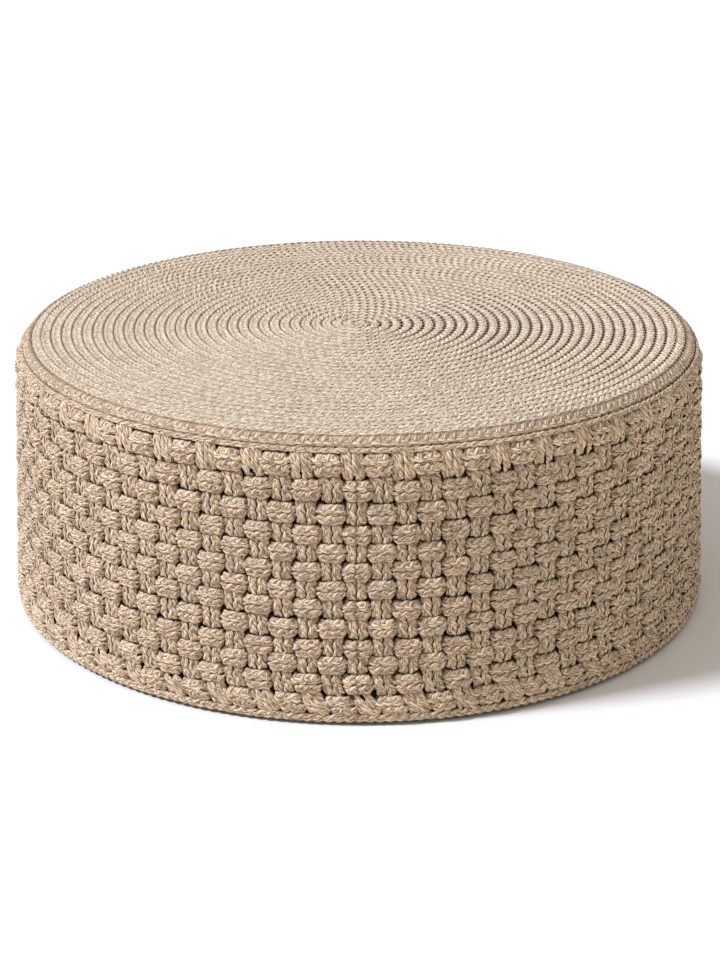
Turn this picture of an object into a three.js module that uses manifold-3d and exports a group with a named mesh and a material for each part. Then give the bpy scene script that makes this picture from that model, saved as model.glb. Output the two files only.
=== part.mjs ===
// A round outdoor ottoman footstool: a drum woven of braided rope over a welded aluminium frame.
// Millimetres, Z up. The origin is on the floor, under the middle of the drum.
import * as THREE from 'three';
import { mergeVertices } from 'three/addons/utils/BufferGeometryUtils.js';
import Module from 'manifold-3d';

const wasm = await Module();
wasm.setup();

// Whole footstool
const overallDiameter = 914;
const overallHeight = 354;
const seatGap = 0.3;
const baseLift = 4;
const wallLeanShare = 0.026;

// Weave of the side: upright stakes, with rows of weft bands round them
const columnCount = 96;
const rowCount = 11;
const weaveTurnDegrees = -0.3;
const floatDepth = 8;
const floatRise = 5.5;
const stakeThickness = 8;
const grooveWidth = 5;
const grooveDepth = 3;
const topBorderHeight = 34.2;
const topBorderInset = 4;
const bottomBorderHeight = 24.4;
const topLeanColumnShare = 0.18;
const bottomLeanColumnShare = 0.35;

// Cords that trim both ends of the side
const rimCordHeight = 6.8;
const rimCordDepth = 5.7;
const baseCordHeight = 11;
const baseCordDepth = 8.5;
const baseCordInset = 1.5;
const trimChamfer = 1.8;
const trimSegments = 36;

// Mat of the top: one braided cord, wound in a flat spiral that rolls over the rim
const cordPitch = 13.25;
const cordGap = 0.65;
const cordThickness = 8.5;
const rimRadius = 38;
const rimFootDegrees = 40;
const mostTurns = 23;
const leastCoreTurns = 3;
const stepsPerTurn = 20;
const stepsPerJog = 4;
const crownWidthShare = 0.5;
const leastEndShare = 0.5;

// Seat under the mat
const padThickness = 35;
const padEdgeRadius = 30;
const padSideGap = 0.5;
const roundSegments = 48;
const cornerSteps = 4;
const deckThickness = 3;
const drainHoleDiameter = 12;
const drainHoleSides = 6;
const drainCircleShares = [0.38, 0.76];

// Welded frame
const ringTubeDiameter = 22;
const ringTubeSides = 8;
const ringSegments = 36;
const uprightDiameter = 19;
const uprightSides = 10;
const uprightCount = 8;
const spokeDiameter = 19;
const spokeSides = 8;
const spokeCount = 6;
const hubDiameter = 90;

// Base: a mesh cover that the glides hold against the lower ring
const coverThickness = 1;
const coverEdgeGap = 3;
const coverHoleDiameter = 5;
const glideDiameter = 30;
const glideTaper = 1.5;
const glideHeight = 5.4;
const glideCount = 6;
const glideSegments = 10;
const glideFloor = 1.7;
const screwHeadDiameter = 8;
const screwHeadHeight = 2.4;
const screwShankDiameter = 4;
const screwSink = 1;
const screwGrip = 15;
const screwSegments = 8;
const screwClearance = 0.3;
const screwHoleSides = 6;
const screwHoleSpare = 0.5;
const cutOverrun = 2;

// Radii, from the outside in
const cordWidth = cordPitch - cordGap;
const outerRadius = overallDiameter / 2;
const rimCentreRadius = outerRadius * (1 - wallLeanShare) - rimRadius;
const stakeOuterRadius = outerRadius - floatDepth - seatGap;
const stakeInnerRadius = stakeOuterRadius - stakeThickness;
const wallFlatRadius = stakeInnerRadius * Math.cos(Math.PI * 2 / columnCount);

// Heights, from the floor up
const coverBottom = glideHeight + seatGap;
const coverTop = coverBottom + coverThickness;
const ringTubeRadius = ringTubeDiameter / 2;
const ringTubeFlat = ringTubeRadius * Math.cos(Math.PI / ringTubeSides);
const bottomRingHeight = coverTop + seatGap + ringTubeFlat;
const baseCordTop = baseLift + baseCordHeight;
const sideBottom = baseCordTop + seatGap;
const rowsBottom = sideBottom + bottomBorderHeight;

// Heights, from the top down
const matBottom = overallHeight - cordThickness;
const rimCentreHeight = overallHeight - rimRadius;
const rimFootAngle = rimFootDegrees * Math.PI / 180;
const rimCordTop = rimCentreHeight + rimRadius * Math.sin(rimFootAngle);
const rimCordBottom = rimCordTop - rimCordHeight;
const sideTop = rimCordBottom - seatGap;
const rowsTop = sideTop - topBorderHeight;
const rowPitch = (rowsTop - rowsBottom - seatGap) / rowCount;
const padTop = matBottom - seatGap;
const padBottom = padTop - padThickness;
const deckTop = padBottom - seatGap;
const deckBottom = deckTop - deckThickness;
const frameTop = deckBottom - seatGap;
const topRingHeight = frameTop - ringTubeFlat;

// Radii that the lean of the wall sets
const topRingRadius = ringRadiusUnder(frameTop);
const bottomRingRadius = ringRadiusUnder(bottomRingHeight + ringTubeFlat);
const ringInnerFlat = (topRingRadius - ringTubeRadius) * Math.cos(Math.PI / ringSegments);
const padRadius = wallFlatRadius * wallShare(sideTop) - padSideGap;

const materials = {
  rope: new THREE.MeshStandardMaterial({ color: 0xcbb596, roughness: 0.85, metalness: 0 }),
  ropeShade: new THREE.MeshStandardMaterial({ color: 0xb49b7b, roughness: 0.85, metalness: 0 }),
  foam: new THREE.MeshStandardMaterial({ color: 0xded8cb, roughness: 0.95, metalness: 0 }),
  frame: new THREE.MeshStandardMaterial({ color: 0x8c8170, roughness: 0.5, metalness: 0.3 }),
  mesh: new THREE.MeshStandardMaterial({ color: 0x3b3835, roughness: 0.9, metalness: 0 }),
  plastic: new THREE.MeshStandardMaterial({ color: 0x26241f, roughness: 0.55, metalness: 0 }),
  steel: new THREE.MeshStandardMaterial({ color: 0xb9b9b6, roughness: 0.35, metalness: 1 }),
};

const footstool = new THREE.Group();

function addPiece(name, geometry, material, parent = footstool) {
  const mesh = new THREE.Mesh(geometry, material);
  mesh.name = name;
  parent.add(mesh);
  return mesh;
}

function bare(geometry) {
  const copy = geometry.clone();
  copy.deleteAttribute('normal');
  copy.deleteAttribute('uv');
  return mergeVertices(copy);
}

function signedVolume(positions, index) {
  const a = new THREE.Vector3();
  const b = new THREE.Vector3();
  const c = new THREE.Vector3();
  let total = 0;
  for (let i = 0; i < index.length; i += 3) {
    a.fromArray(positions, index[i] * 3);
    b.fromArray(positions, index[i + 1] * 3);
    c.fromArray(positions, index[i + 2] * 3);
    total += a.dot(b.cross(c)) / 6;
  }
  return total;
}

// A closed surface from shared points, with its faces turned outwards
function closedGeometry(positions, index) {
  const insideOut = signedVolume(positions, index) < 0;
  const geometry = new THREE.BufferGeometry();
  geometry.setAttribute('position', new THREE.Float32BufferAttribute(positions, 3));
  geometry.setIndex(insideOut ? [...index].reverse() : [...index]);
  geometry.computeVertexNormals();
  return geometry;
}

function toSolid(geometry) {
  const merged = bare(geometry);
  return new wasm.Manifold(new wasm.Mesh({
    numProp: 3,
    vertProperties: new Float32Array(merged.attributes.position.array),
    triVerts: new Uint32Array(merged.index.array),
  }));
}

function fromSolid(solid) {
  const mesh = solid.getMesh();
  return closedGeometry(Array.from(mesh.vertProperties), Array.from(mesh.triVerts));
}

function polygonPoints(radius, count, start = 0) {
  const points = [];
  for (let i = 0; i < count; i += 1) {
    const angle = start + (i / count) * Math.PI * 2;
    points.push(new THREE.Vector2(radius * Math.cos(angle), radius * Math.sin(angle)));
  }
  return points;
}

// A flat plate from its outline and holes, with its lower face at zero
function plate(outline, holes, thickness) {
  const shape = new THREE.Shape(outline);
  shape.holes = holes.map((points) => new THREE.Path(points));
  return new THREE.ExtrudeGeometry(shape, { depth: thickness, bevelEnabled: false });
}

// A turned solid about Z, from points of radius and height
function turned(profile, segments) {
  const points = profile.map(([radius, height]) => new THREE.Vector2(radius, height));
  const lathe = new THREE.LatheGeometry(points, segments).rotateX(Math.PI / 2);
  const merged = bare(lathe);
  const index = Array.from(merged.index.array);
  const kept = [];
  for (let i = 0; i < index.length; i += 3) {
    const [a, b, c] = index.slice(i, i + 3);
    if (a !== b && b !== c && c !== a) kept.push(a, b, c);
  }
  return closedGeometry(Array.from(merged.attributes.position.array), kept);
}

// A round bar along Z, with a flat side towards X
function bar(diameter, length, sides) {
  const start = Math.PI / 2 + Math.PI / sides;
  return new THREE.CylinderGeometry(diameter / 2, diameter / 2, length, sides, 1, false, start)
    .rotateX(Math.PI / 2);
}

// The wall leans in as it rises: the share of its radius at the base that is left at a height
function wallShare(height) {
  return 1 - wallLeanShare * (height - sideBottom) / (rowsTop - sideBottom);
}

// Leans a piece of the side in, for the height that it stands at
function leaned(geometry, standing) {
  const points = geometry.attributes.position;
  for (let i = 0; i < points.count; i += 1) {
    const share = wallShare(standing + points.getZ(i));
    points.setXY(i, points.getX(i) * share, points.getY(i) * share);
  }
  geometry.computeVertexNormals();
  return geometry;
}

// Radius of a ring tube that stands against the wall, with its upper side at a height
function ringRadiusUnder(height) {
  return wallFlatRadius * wallShare(height) - seatGap - ringTubeRadius;
}

// Length of the mat's middle line round the rim
function bendRun() {
  return (rimRadius - cordThickness / 2) * (Math.PI / 2 - rimFootAngle);
}

// Place on the middle line of the mat, at a run measured from the foot of the rim towards the centre
function matPlace(run) {
  const bend = rimRadius - cordThickness / 2;
  const angle = Math.min(rimFootAngle + run / bend, Math.PI / 2);
  const past = Math.max(run - bendRun(), 0);
  return {
    radius: rimCentreRadius + bend * Math.cos(angle) - past,
    height: rimCentreHeight + bend * Math.sin(angle),
    inward: [-Math.sin(angle), Math.cos(angle)],
    outward: [Math.cos(angle), Math.sin(angle)],
  };
}

// Six corners of the cord's section, as points of radius and height
function cordSection(run, width, thickness) {
  const place = matPlace(run);
  const half = width / 2;
  const crown = half * crownWidthShare;
  const rise = thickness / 2;
  const corners = [[half, 0], [crown, rise], [-crown, rise], [-half, 0], [-crown, -rise], [crown, -rise]];
  return corners.map(([along, across]) => [
    place.radius + place.inward[0] * along + place.outward[0] * across,
    place.height + place.inward[1] * along + place.outward[1] * across,
  ]);
}

// Largest radius of the mat's coil beside the rim cord
function matFootRadius() {
  const points = coilSections().flat().filter((point) => point.z < rimCordTop + cordThickness / 2);
  return Math.max(...points.map((point) => Math.hypot(point.x, point.y)));
}

function smoothStep(share) {
  return share * share * (3 - 2 * share);
}

// Turns that the coil winds: as many as fit outside the plain core, up to the most that are wound
function woundTurns() {
  const wholeRun = bendRun() + rimCentreRadius;
  return Math.min(mostTurns, Math.floor(wholeRun / cordPitch) - leastCoreTurns);
}

// Each turn lies level and moves in by one cord over a short jog, so the rim stays round.
// The cord's two ends thin out over the jog against the turn beside them.
function coilSections() {
  const turns = woundTurns();
  const sections = [];
  for (let step = 1; step < turns * stepsPerTurn + stepsPerJog; step += 1) {
    const turn = Math.floor(step / stepsPerTurn);
    const jogShare = Math.min((step - turn * stepsPerTurn) / stepsPerJog, 1);
    const moved = smoothStep(jogShare);
    let from = (turn - 1 + moved) * cordPitch;
    let to = (turn + moved) * cordPitch;
    if (turn === 0) from = 0;
    if (turn === 0) to = moved * cordPitch;
    if (turn === turns) to = turns * cordPitch;
    const width = to - from - cordGap;
    const fullShare = width / cordWidth;
    const thickness = cordThickness * (leastEndShare + (1 - leastEndShare) * fullShare);
    const angle = (step / stepsPerTurn) * Math.PI * 2 + Math.PI / 2;
    sections.push(cordSection((from + to) / 2, width, thickness).map(([radius, height]) => (
      new THREE.Vector3(radius * Math.cos(angle), radius * Math.sin(angle), height)
    )));
  }
  return sections;
}

// One unbroken tube through sections with the same number of corners
function tubeThrough(sections) {
  const sides = sections[0].length;
  const positions = sections.flat().flatMap((point) => [point.x, point.y, point.z]);
  const index = [];
  for (let i = 0; i + 1 < sections.length; i += 1) {
    for (let j = 0; j < sides; j += 1) {
      const a = i * sides + j;
      const b = i * sides + ((j + 1) % sides);
      index.push(a, b, b + sides, a, b + sides, a + sides);
    }
  }
  const last = (sections.length - 1) * sides;
  for (let j = 1; j + 1 < sides; j += 1) {
    index.push(0, j + 1, j);
    index.push(last, last + j, last + j + 1);
  }
  return closedGeometry(positions, index);
}

// Least distance between a turn and the next, from each corner to the next turn's edges
function leastTurnGap(sections) {
  const line = new THREE.Line3();
  const nearest = new THREE.Vector3();
  const middle = new THREE.Vector3();
  let least = Infinity;
  for (let i = 0; i + stepsPerTurn < sections.length; i += 1) {
    const first = Math.max(i + stepsPerTurn - 2, 0);
    const final = Math.min(i + stepsPerTurn + 2, sections.length - 1);
    for (const [corner, point] of sections[i].entries()) {
      middle.addVectors(point, sections[i + 1][corner]).multiplyScalar(1 / 2);
      for (let k = first; k < final; k += 1) {
        for (const [side, start] of sections[k].entries()) {
          line.set(start, sections[k + 1][side]);
          least = Math.min(least, line.closestPointToPoint(point, true, nearest).distanceTo(point));
          least = Math.min(least, line.closestPointToPoint(middle, true, nearest).distanceTo(middle));
        }
      }
    }
  }
  return least;
}

function addTopMat() {
  const sections = coilSections();
  console.log(`top_mat: least gap between its turns ${leastTurnGap(sections).toFixed(2)} mm`);
  addPiece('top_mat', tubeThrough(sections), materials.rope);
  const edge = matPlace(woundTurns() * cordPitch + cordGap / 2);
  const core = plate(polygonPoints(edge.radius, stepsPerTurn, Math.PI / 2), [], cordThickness);
  addPiece('mat_core', core, materials.ropeShade).position.z = matBottom;
}

// A band that closes round the drum. Its outer face comes forward at every other column.
function wovenBand(height, firstFloat, leanColumns, backRadius, upperInset) {
  const columnAngle = (Math.PI * 2) / columnCount;
  const start = -Math.PI / 2 + weaveTurnDegrees * Math.PI / 180;
  const backCount = columnCount / 2;
  const positions = [];
  const addPoint = (radius, angle, z) => {
    positions.push(radius * Math.cos(angle), radius * Math.sin(angle), z);
  };
  for (const level of [0, 1]) {
    for (let i = 0; i < columnCount; i += 1) {
      const forward = (i + firstFloat) % 2 === 0;
      const angle = start + (i + level * leanColumns) * columnAngle;
      const radius = (forward ? outerRadius : outerRadius - floatRise) - level * upperInset;
      addPoint(radius, angle, level * height);
    }
  }
  for (const level of [0, 1]) {
    for (let i = 0; i < backCount; i += 1) {
      addPoint(backRadius, start + i * 2 * columnAngle, level * height);
    }
  }
  const index = [];
  const addWall = (lower, upper, count, facing) => {
    for (let i = 0; i < count; i += 1) {
      const next = (i + 1) % count;
      const quad = [lower + i, lower + next, upper + next, lower + i, upper + next, upper + i];
      index.push(...(facing > 0 ? quad : quad.reverse()));
    }
  };
  const addLedge = (outer, inner, facing) => {
    for (let i = 0; i < backCount; i += 1) {
      const next = (i + 1) % backCount;
      const [a, b, c] = [outer + 2 * i, outer + 2 * i + 1, outer + 2 * next];
      const ledge = [a, b, inner + i, b, inner + next, inner + i, b, c, inner + next];
      index.push(...(facing > 0 ? ledge : ledge.reverse()));
    }
  };
  const inner = 2 * columnCount;
  addWall(0, columnCount, columnCount, 1);
  addWall(inner, inner + backCount, backCount, -1);
  addLedge(0, inner, -1);
  addLedge(columnCount, inner + backCount, 1);
  return closedGeometry(positions, index);
}

function addLeaningPiece(name, geometry, material, standing) {
  addPiece(name, leaned(geometry, standing), material).position.z = standing;
}

// Radius of the back of a band that lies against the stakes
function bandBackRadius() {
  return (stakeOuterRadius + seatGap) / Math.cos(Math.PI * 2 / columnCount);
}

function addWeftBands() {
  for (let row = 1; row <= rowCount; row += 1) {
    const name = `weft_band_${String(row).padStart(2, '0')}`;
    const band = wovenBand(rowPitch - seatGap, (row + 1) % 2, 0, bandBackRadius(), 0);
    const material = row % 2 === 1 ? materials.rope : materials.ropeShade;
    addLeaningPiece(name, band, material, rowsTop - row * rowPitch);
  }
}

// The stakes turn over into a border at each end, and the border leans as they do.
// The upper one stands on the stakes and leans in further, towards the rim.
function addBorders() {
  const topBand = wovenBand(topBorderHeight, 0, -topLeanColumnShare, stakeInnerRadius, topBorderInset);
  addLeaningPiece('top_border', topBand, materials.ropeShade, rowsTop);
  const bottomBand = wovenBand(bottomBorderHeight, 1, -bottomLeanColumnShare, bandBackRadius(), 0);
  addLeaningPiece('bottom_border', bottomBand, materials.ropeShade, sideBottom);
}

// The upright stakes side by side, with a groove between each two
function addStakes() {
  const columnAngle = (Math.PI * 2) / columnCount;
  const start = -Math.PI / 2 + weaveTurnDegrees * Math.PI / 180;
  const grooveAngle = grooveWidth / stakeOuterRadius / 2;
  const outline = [];
  const addPoint = (radius, angle) => {
    outline.push(new THREE.Vector2(radius * Math.cos(angle), radius * Math.sin(angle)));
  };
  for (let i = 0; i < columnCount; i += 1) {
    const seam = start + (i + 1 / 2) * columnAngle;
    addPoint(stakeOuterRadius, seam - grooveAngle);
    addPoint(stakeOuterRadius - grooveDepth, seam);
    addPoint(stakeOuterRadius, seam + grooveAngle);
  }
  const back = polygonPoints(stakeInnerRadius, columnCount / 2, start);
  const wall = bare(plate(outline, [back], rowsTop - seatGap - sideBottom));
  addLeaningPiece('side_stakes', wall, materials.rope, sideBottom);
}

function trimRing(inner, outer, height) {
  const profile = [
    [inner, 0],
    [outer - trimChamfer, 0],
    [outer, height / 2],
    [outer - trimChamfer, height],
    [inner, height],
    [inner, 0],
  ];
  return turned(profile, trimSegments);
}

function addTrimCords() {
  const rimInner = (matFootRadius() + seatGap) / Math.cos(Math.PI / trimSegments);
  const rimRing = trimRing(rimInner, rimInner + rimCordDepth, rimCordHeight);
  addPiece('rim_cord', rimRing, materials.rope).position.z = rimCordBottom;
  const baseOuter = outerRadius - baseCordInset;
  const baseRing = trimRing(baseOuter - baseCordDepth, baseOuter, baseCordHeight);
  addPiece('base_cord', baseRing, materials.rope).position.z = baseLift;
}

function addPad() {
  const profile = [[0, 0], [padRadius, 0]];
  for (let i = 0; i <= cornerSteps; i += 1) {
    const angle = (i / cornerSteps) * (Math.PI / 2);
    const radius = padRadius - padEdgeRadius + padEdgeRadius * Math.cos(angle);
    profile.push([radius, padThickness - padEdgeRadius + padEdgeRadius * Math.sin(angle)]);
  }
  profile.push([0, padThickness]);
  addPiece('foam_pad', turned(profile, roundSegments), materials.foam).position.z = padBottom;
}

function offsetPoints(points, x, y) {
  return points.map((point) => new THREE.Vector2(point.x + x, point.y + y));
}

function addDeck() {
  const holes = [];
  for (const circleShare of drainCircleShares) {
    for (let i = 0; i < spokeCount; i += 1) {
      const angle = ((i + 1 / 2) / spokeCount) * Math.PI * 2;
      const circle = padRadius * circleShare;
      const hole = polygonPoints(drainHoleDiameter / 2, drainHoleSides);
      holes.push(offsetPoints(hole, circle * Math.cos(angle), circle * Math.sin(angle)));
    }
  }
  const deck = plate(polygonPoints(padRadius, roundSegments), holes, deckThickness);
  addPiece('deck_panel', deck, materials.frame).position.z = deckBottom;
}

// A tube bent into a closed ring, with flat sides above and below
function ringTube(radius) {
  const profile = [];
  for (let i = 0; i <= ringTubeSides; i += 1) {
    const angle = ((i + 1 / 2) / ringTubeSides) * Math.PI * 2;
    profile.push([
      radius + ringTubeRadius * Math.cos(angle),
      ringTubeRadius * Math.sin(angle),
    ]);
  }
  return turned(profile, ringSegments);
}

function glidePlaces() {
  return polygonPoints(bottomRingRadius, glideCount, Math.PI / glideCount);
}

// The lower ring has a blind hole over each glide for its screw
function addRings() {
  addPiece('top_ring', ringTube(topRingRadius), materials.frame).position.z = topRingHeight;
  const depth = ringTubeFlat - (bottomRingHeight - screwTip()) + screwHoleSpare;
  const hole = bar(screwShankDiameter + 2 * screwClearance, depth + cutOverrun, screwHoleSides);
  hole.translate(0, 0, (depth - cutOverrun) / 2 - ringTubeFlat);
  let lower = toSolid(ringTube(bottomRingRadius));
  for (const place of glidePlaces()) {
    lower = lower.subtract(toSolid(hole.clone().translate(place.x, place.y, 0)));
  }
  addPiece('bottom_ring', fromSolid(lower), materials.frame).position.z = bottomRingHeight;
}

// Uprights lean with the wall, from the lower ring to the upper one
function addUprights() {
  const across = bottomRingRadius - topRingRadius;
  const rise = topRingHeight - bottomRingHeight;
  const lean = Math.atan2(across, rise);
  const endGap = (ringTubeFlat + seatGap) / Math.cos(lean) + (uprightDiameter / 2) * Math.tan(lean);
  const length = Math.hypot(across, rise) - 2 * endGap;
  for (let i = 0; i < uprightCount; i += 1) {
    const side = new THREE.Group();
    side.rotation.z = ((i + 1 / 2) / uprightCount) * Math.PI * 2;
    footstool.add(side);
    const geometry = bar(uprightDiameter, length, uprightSides);
    const upright = addPiece(`upright_${i + 1}`, geometry, materials.frame, side);
    upright.position.set(
      (bottomRingRadius + topRingRadius) / 2,
      0,
      (bottomRingHeight + topRingHeight) / 2,
    );
    upright.rotation.y = -lean;
  }
}

// Spokes run from the hub to the upper ring, with their upper sides level under the deck
function addSpokes() {
  const spokeFlat = (spokeDiameter / 2) * Math.cos(Math.PI / spokeSides);
  const height = frameTop - spokeFlat;
  const hubSides = 2 * spokeCount;
  const hubFlat = (hubDiameter / 2) * Math.cos(Math.PI / hubSides);
  const from = hubFlat + seatGap;
  const to = ringInnerFlat - seatGap;
  addPiece('deck_hub', bar(hubDiameter, 2 * spokeFlat, hubSides), materials.frame).position.z = height;
  for (let i = 0; i < spokeCount; i += 1) {
    const arm = new THREE.Group();
    arm.rotation.z = (i / spokeCount) * Math.PI * 2;
    footstool.add(arm);
    const spoke = bar(spokeDiameter, to - from, spokeSides);
    const piece = addPiece(`deck_spoke_${i + 1}`, spoke, materials.frame, arm);
    piece.position.set((from + to) / 2, 0, height);
    piece.rotation.y = Math.PI / 2;
  }
}

function screwTip() {
  return screwSink + screwHeadHeight + glideFloor + seatGap + coverThickness + seatGap + screwGrip;
}

function glideGeometry() {
  const bore = screwShankDiameter / 2 + screwClearance;
  const counterbore = screwHeadDiameter / 2 + screwClearance;
  const shelf = glideHeight - glideFloor;
  const profile = [
    [counterbore, 0],
    [glideDiameter / 2, 0],
    [glideDiameter / 2 - glideTaper, glideHeight],
    [bore, glideHeight],
    [bore, shelf],
    [counterbore, shelf],
    [counterbore, 0],
  ];
  return turned(profile, glideSegments);
}

function screwGeometry() {
  const head = screwHeadDiameter / 2;
  const shank = screwShankDiameter / 2;
  const length = screwTip() - screwSink;
  const profile = [
    [0, 0],
    [head, 0],
    [head, screwHeadHeight],
    [shank, screwHeadHeight],
    [shank, length],
    [0, length],
  ];
  return turned(profile, screwSegments);
}

function addBase() {
  const holes = glidePlaces().map((place) => (
    offsetPoints(polygonPoints(coverHoleDiameter / 2, screwHoleSides), place.x, place.y)
  ));
  const cover = plate(polygonPoints(wallFlatRadius - coverEdgeGap, roundSegments), holes, coverThickness);
  addPiece('base_cover', cover, materials.mesh).position.z = coverBottom;
  for (const [i, place] of glidePlaces().entries()) {
    const foot = new THREE.Group();
    foot.position.set(place.x, place.y, 0);
    footstool.add(foot);
    addPiece(`glide_${i + 1}`, glideGeometry(), materials.plastic, foot);
    addPiece(`glide_screw_${i + 1}`, screwGeometry(), materials.steel, foot).position.z = screwSink;
  }
}

addTopMat();
addTrimCords();
addBorders();
addWeftBands();
addStakes();
addPad();
addDeck();
addRings();
addUprights();
addSpokes();
addBase();

export default footstool;
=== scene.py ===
import math

import bpy
import numpy as np
from mathutils import Matrix, Vector


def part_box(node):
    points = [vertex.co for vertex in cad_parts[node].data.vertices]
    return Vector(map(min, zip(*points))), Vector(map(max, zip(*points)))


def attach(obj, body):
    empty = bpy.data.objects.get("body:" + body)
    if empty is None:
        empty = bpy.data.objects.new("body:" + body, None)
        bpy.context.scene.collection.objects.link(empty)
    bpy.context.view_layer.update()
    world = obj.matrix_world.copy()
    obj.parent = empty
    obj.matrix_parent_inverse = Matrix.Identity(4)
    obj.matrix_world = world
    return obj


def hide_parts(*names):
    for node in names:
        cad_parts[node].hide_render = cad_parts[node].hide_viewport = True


# Woven rope footstool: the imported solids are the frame, and the braided rope is laid over them here.
# Lengths in the dictionaries are in millimetres where no other unit is given.
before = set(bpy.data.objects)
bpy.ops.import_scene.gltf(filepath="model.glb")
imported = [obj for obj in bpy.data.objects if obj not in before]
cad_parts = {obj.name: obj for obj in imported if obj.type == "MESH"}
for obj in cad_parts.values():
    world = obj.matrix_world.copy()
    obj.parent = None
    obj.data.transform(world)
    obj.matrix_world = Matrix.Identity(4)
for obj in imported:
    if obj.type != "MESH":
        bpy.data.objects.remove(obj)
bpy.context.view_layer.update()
scene = bpy.context.scene
print("frame loaded:", len(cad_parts), "nodes")

mm = 0.001

# What the whole weave shares
weave = {
    "columns": 96,
    "bands": 11,
    "turnDegrees": -0.3,  # the first column, from the front
    "seed": 11,
    "columnWander": 1.1,  # how far the columns drift aside, smoothly
    "columnWaves": 14,  # in about this many waves round the drum
    "columnBlend": 1.8,  # the drifts of three rows are added and divided by this
    "columnStray": 0.35,  # and each crossing by itself
    "rowWander": 0.8,
    "rowWaves": 16,
    "rowStray": 0.3,
    # how far each row lies above its solid, from the top border down
    "rowSettle": [3.1, -0.2, -3.0, -4.2, -2.8, -1.5, -1.1, -1.0, -1.1, -2.2, 0.6, 1.0, -1.5],
    "weftCrest": -3.6,  # middle of a weft plait where it shows, from the outer face
    "weftDip": -14.6,  # and where it passes behind a stake
    "stakeCrest": -7.0,
    "stakeDip": -12.6,
    "borderCrest": -5.0,
    "pillowDegrees": 17.0,  # how far the two plaits of a band turn away from each other
}
bandRows = range(1, weave["bands"] + 1)
rowNodes = ["top_border"] + ["weft_band_%02d" % row for row in bandRows] + ["bottom_border"]
rowPieces = ["weft_top_border"] + ["weft_%02d" % row for row in bandRows] + ["weft_base_border"]
rowCount = len(rowNodes)


def boxOf(node):
    low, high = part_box(node)
    return np.array(low) / mm, np.array(high) / mm


def middleHeight(node):
    low, high = boxOf(node)
    return (low[2] + high[2]) / 2


# How far the two borders run aside, at heights from the floor: the top leans one way, the base the other
borders = {
    "topHeights": [297.0, 303.0, 334.0],
    "topShifts": [0.0, -4.2, -7.0],
    "baseHeights": [15.0, 28.0, 40.0, 54.0],
    "baseShifts": [17.0, 9.0, 4.2, 0.0],
}


def borderShift(height):
    top = np.interp(height, borders["topHeights"], borders["topShifts"])
    return top + np.interp(height, borders["baseHeights"], borders["baseShifts"])


# Outer face of the side: a wall that leans in a little, then the round of the rim
wall = {"lowOut": 0.6, "highOut": 0.2}  # how far it stands out from the lowest and the highest band
rim = {
    "radius": 38.0,
    "footDegrees": 38.5,  # where the mat's outermost turn starts, up from the wall
    "share": 0.98,  # how far up the round the side may follow it
}
lowBand, highBand = boxOf(rowNodes[-2]), boxOf(rowNodes[1])
lowRadius, lowHeight = wall["lowOut"] - lowBand[0][0], lowBand[0][2]
highRadius, highHeight = wall["highOut"] - highBand[0][0], highBand[0][2]
wallSlope = (highRadius - lowRadius) / (highHeight - lowHeight)
rimHeight = boxOf("mat_core")[1][2] - rim["radius"]
rimMiddle = lowRadius + wallSlope * (rimHeight - lowHeight) - rim["radius"]


def faceRadius(height):
    height = np.asarray(height, float)
    straight = lowRadius + wallSlope * (np.minimum(height, rimHeight) - lowHeight)
    above = np.clip(height - rimHeight, 0, rim["radius"] * rim["share"])
    return np.where(height > rimHeight, rimMiddle + np.sqrt(rim["radius"] ** 2 - above**2), straight)


def faceTilt(height):
    above = np.clip((np.asarray(height, float) - rimHeight) / rim["radius"], 0, rim["share"])
    return np.arcsin(above) - math.atan(wallSlope) * (above == 0)


# The grid of crossings, with small random drifts
rowHeights = np.array([middleHeight(node) for node in rowNodes]) + np.array(weave["rowSettle"])
columnAngle = 2 * math.pi / weave["columns"]
frontAngle = -math.pi / 2 + math.radians(weave["turnDegrees"])


# Noise that closes on itself round the drum and is smooth from column to column
def softNoise(rng, shape, waveCount):
    noise = rng.normal(size=shape)
    waves = np.fft.rfft(noise, axis=1)
    waves *= np.exp(-((np.arange(waves.shape[1]) / waveCount) ** 2))
    noise = np.fft.irfft(waves, n=shape[1], axis=1)
    return noise / noise.std()


rng = np.random.default_rng(weave["seed"])
gridShape = (rowCount, weave["columns"])
columnDrift = softNoise(rng, gridShape, weave["columnWaves"])
columnDrift = columnDrift + np.roll(columnDrift, 1, 0) + np.roll(columnDrift, -1, 0)
columnDrift *= weave["columnWander"] / weave["columnBlend"] / lowRadius
columnDrift += rng.normal(size=gridShape) * weave["columnStray"] / lowRadius
rowDrift = softNoise(rng, gridShape, weave["rowWaves"]) * weave["rowWander"]
rowDrift += rng.normal(size=gridShape) * weave["rowStray"]


# A smooth curve through values that stand at whole numbers
def smoothAlong(values, places, closed):
    count = len(values)
    whole = np.floor(places).astype(int)
    share = (places - whole)[:, None]
    picks = [whole + k for k in (-1, 0, 1, 2)]
    if closed:
        a, b, c, d = (values[pick % count] for pick in picks)
    else:
        a, b, c, d = (values[np.clip(pick, 0, count - 1)] for pick in picks)
    return 0.5 * (
        2 * b
        + (c - a) * share
        + (2 * a - 5 * b + 4 * c - d) * share**2
        + (3 * b - a - 3 * c + d) * share**3
    )


# From 1 at even numbers to -1 at odd ones, level for longer the flatter it is
def flatWave(places, flatness):
    return np.tanh(flatness * np.cos(math.pi * places)) / math.tanh(flatness)


# Points round the drum, and the way out at each: level at tilt 0, straight up at a quarter turn
def radialPath(radius, angle, height, tilt):
    place = np.stack([radius * np.cos(angle), radius * np.sin(angle), height], 1)
    outward = [np.cos(tilt) * np.cos(angle), np.cos(tilt) * np.sin(angle), np.sin(tilt)]
    return place, np.stack(outward, 1)


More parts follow.
